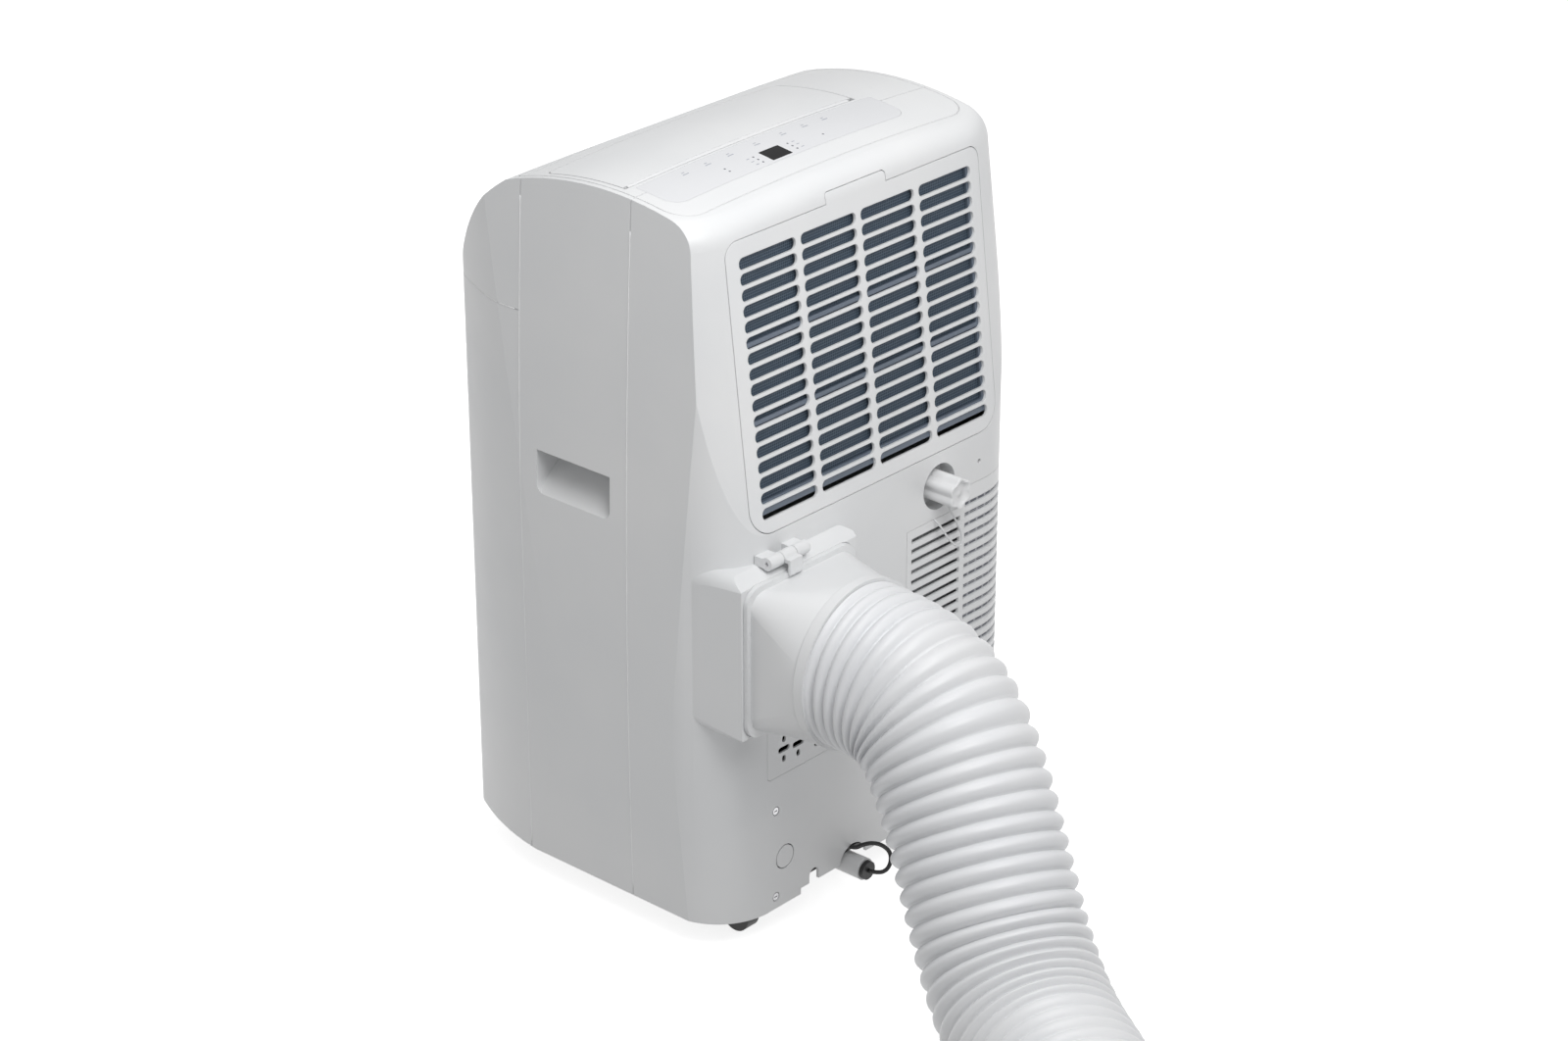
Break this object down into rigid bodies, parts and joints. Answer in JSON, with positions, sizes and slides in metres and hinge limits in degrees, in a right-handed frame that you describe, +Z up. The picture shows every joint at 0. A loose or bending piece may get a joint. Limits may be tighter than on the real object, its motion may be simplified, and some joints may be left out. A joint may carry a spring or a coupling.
{
  "type": "portable air conditioner",
  "caption": "Tall portable air conditioner on casters, seen from behind, with a filter grille, a side exhaust outlet and a flexible duct hose.",
  "frame": {"origin": "centre of the cabinet's and duct adaptor's footprint, on the floor", "axes": "+Z up, the front faces -Y, the rear grille and the exhaust outlet face +Y, the outlet is on the +X side"},
  "size_m": [0.6719, 1.0774, 0.703],
  "materials": {
    "white_plastic": "satin",
    "film": "gloss",
    "display": "gloss",
    "duct_plastic": "satin",
    "grey_plastic": "matt",
    "mesh": "matt",
    "rubber": "matt",
    "steel": "satin",
    "circuit_board": "satin",
    "black_plastic": "satin",
    "enamel": "satin",
    "coil": "satin",
    "copper": "satin"
  },
  "bodies": {
    "cabinet": {"front_panel_lower": "white_plastic", "front_panel_upper": "white_plastic", "side_panel_right": "white_plastic", "side_panel_left": "white_plastic", "rear_shell": "white_plastic", "top_cover": "white_plastic", "lower_grille": "white_plastic", "exhaust_adaptor": "white_plastic", "hose_collar": "white_plastic", "drain_neck": "white_plastic", "knockout_disc": "white_plastic", "plug_holder": "white_plastic", "hose_connector": "white_plastic", "control_film": "film", "display_window": "display", "exhaust_hose": "duct_plastic", "air_duct": "grey_plastic", "upper_fan_housing": "grey_plastic", "lower_fan_housing": "grey_plastic", "drip_tray": "grey_plastic", "drain_spout": "grey_plastic", "vane_motor": "grey_plastic", "lower_mesh": "mesh", "flap_pins": "steel", "latch_pin": "steel", "shell_screws": "steel", "fan_motors": "steel", "electrical_box": "steel", "base_pan": "steel", "control_board": "circuit_board", "compressor": "enamel", "evaporator_coil": "coil", "condenser_coil": "coil", "refrigerant_pipes": "copper"},
    "flap": {"louver_flap": "white_plastic"},
    "vane_body_1": {"vane_1": "grey_plastic"},
    "vane_body_2": {"vane_2": "grey_plastic"},
    "vane_body_3": {"vane_3": "grey_plastic"},
    "vane_body_4": {"vane_4": "grey_plastic"},
    "vane_body_5": {"vane_5": "grey_plastic"},
    "filter_door": {"upper_grille": "white_plastic", "filter_frame": "grey_plastic", "filter_mesh": "mesh"},
    "caster_rear_right": {"caster_fork_rear_right": "black_plastic"},
    "wheel_rear_right": {"caster_wheel_rear_right": "black_plastic"},
    "caster_rear_left": {"caster_fork_rear_left": "black_plastic"},
    "wheel_rear_left": {"caster_wheel_rear_left": "black_plastic"},
    "caster_front_right": {"caster_fork_front_right": "black_plastic"},
    "wheel_front_right": {"caster_wheel_front_right": "black_plastic"},
    "caster_front_left": {"caster_fork_front_left": "black_plastic"},
    "wheel_front_left": {"caster_wheel_front_left": "black_plastic"},
    "latch": {"adaptor_latch": "white_plastic"},
    "cap_seat": {"drain_cap_washer": "rubber", "cap_tether": "rubber"},
    "cap": {"drain_cap": "white_plastic"},
    "plug": {"drain_plug": "rubber", "plug_strap": "rubber"},
    "upper_fan": {"upper_blower": "grey_plastic"},
    "lower_fan": {"lower_blower": "grey_plastic"}
  },
  "joints": [
    {"name": "flap_hinge", "type": "hinge", "parent": "cabinet", "child": "flap", "pos_m": [0, 0.0016, 0.69115], "axis": [-1, 0, 0], "range_deg": [0, 45]},
    {"name": "vane_1_swing", "type": "hinge", "parent": "cabinet", "child": "vane_body_1", "pos_m": [-0.073, -0.0355, 0.64], "axis": [0, 1, 0], "range_deg": [-35, 35]},
    {"name": "vane_2_swing", "type": "hinge", "parent": "cabinet", "child": "vane_body_2", "pos_m": [-0.019, -0.0355, 0.64], "axis": [0, 1, 0], "range_deg": [-35, 35]},
    {"name": "vane_3_swing", "type": "hinge", "parent": "cabinet", "child": "vane_body_3", "pos_m": [0.035, -0.0355, 0.64], "axis": [0, 1, 0], "range_deg": [-35, 35]},
    {"name": "vane_4_swing", "type": "hinge", "parent": "cabinet", "child": "vane_body_4", "pos_m": [0.089, -0.0355, 0.64], "axis": [0, 1, 0], "range_deg": [-35, 35]},
    {"name": "vane_5_swing", "type": "hinge", "parent": "cabinet", "child": "vane_body_5", "pos_m": [0.143, -0.0355, 0.64], "axis": [0, 1, 0], "range_deg": [-35, 35]},
    {"name": "filter_door_hinge", "type": "hinge", "parent": "cabinet", "child": "filter_door", "pos_m": [0, 0.135, 0.406], "axis": [-1, 0, 0], "range_deg": [0, 35]},
    {"name": "caster_rear_right_swivel", "type": "hinge", "parent": "cabinet", "child": "caster_rear_right", "pos_m": [0.146, 0.09, 0.04], "axis": [0, 0, 1], "continuous": true},
    {"name": "caster_rear_right_roll", "type": "hinge", "parent": "caster_rear_right", "child": "wheel_rear_right", "pos_m": [0.146, 0.099, 0.016], "axis": [1, 0, 0], "continuous": true},
    {"name": "caster_rear_left_swivel", "type": "hinge", "parent": "cabinet", "child": "caster_rear_left", "pos_m": [-0.146, 0.09, 0.04], "axis": [0, 0, 1], "continuous": true},
    {"name": "caster_rear_left_roll", "type": "hinge", "parent": "caster_rear_left", "child": "wheel_rear_left", "pos_m": [-0.146, 0.099, 0.016], "axis": [1, 0, 0], "continuous": true},
    {"name": "caster_front_right_swivel", "type": "hinge", "parent": "cabinet", "child": "caster_front_right", "pos_m": [0.146, -0.15, 0.04], "axis": [0, 0, 1], "continuous": true},
    {"name": "caster_front_right_roll", "type": "hinge", "parent": "caster_front_right", "child": "wheel_front_right", "pos_m": [0.146, -0.141, 0.016], "axis": [1, 0, 0], "continuous": true},
    {"name": "caster_front_left_swivel", "type": "hinge", "parent": "cabinet", "child": "caster_front_left", "pos_m": [-0.146, -0.15, 0.04], "axis": [0, 0, 1], "continuous": true},
    {"name": "caster_front_left_roll", "type": "hinge", "parent": "caster_front_left", "child": "wheel_front_left", "pos_m": [-0.146, -0.141, 0.016], "axis": [1, 0, 0], "continuous": true},
    {"name": "latch_hinge", "type": "hinge", "parent": "cabinet", "child": "latch", "pos_m": [0.139, 0.148, 0.3875], "axis": [1, 0, 0], "range_deg": [0, 75]},
    {"name": "cap_slide", "type": "slide", "parent": "cabinet", "child": "cap_seat", "axis": [0, 1, 0], "range_m": [0, 0.012]},
    {"name": "cap_turn", "type": "hinge", "parent": "cap_seat", "child": "cap", "pos_m": [-0.083, 0.145, 0.3716], "axis": [0, 1, 0], "range_deg": [0, 1080]},
    {"name": "plug_slide", "type": "slide", "parent": "cabinet", "child": "plug", "axis": [0, 1, 0], "range_m": [0, 0.022]},
    {"name": "upper_fan_spin", "type": "hinge", "parent": "cabinet", "child": "upper_fan", "pos_m": [0, -0.035, 0.502], "axis": [0, 1, 0], "continuous": true},
    {"name": "lower_fan_spin", "type": "hinge", "parent": "cabinet", "child": "lower_fan", "pos_m": [0.02, -0.015, 0.216], "axis": [0, 1, 0], "continuous": true}
  ],
  "couplings": [
    {"joint": "vane_2_swing", "follows": "vane_1_swing", "ratio": 1},
    {"joint": "vane_3_swing", "follows": "vane_1_swing", "ratio": 1},
    {"joint": "vane_4_swing", "follows": "vane_1_swing", "ratio": 1},
    {"joint": "vane_5_swing", "follows": "vane_1_swing", "ratio": 1},
    {"joint": "cap_slide", "follows": "cap_turn", "m_per_rad": 0.0006366}
  ]
}
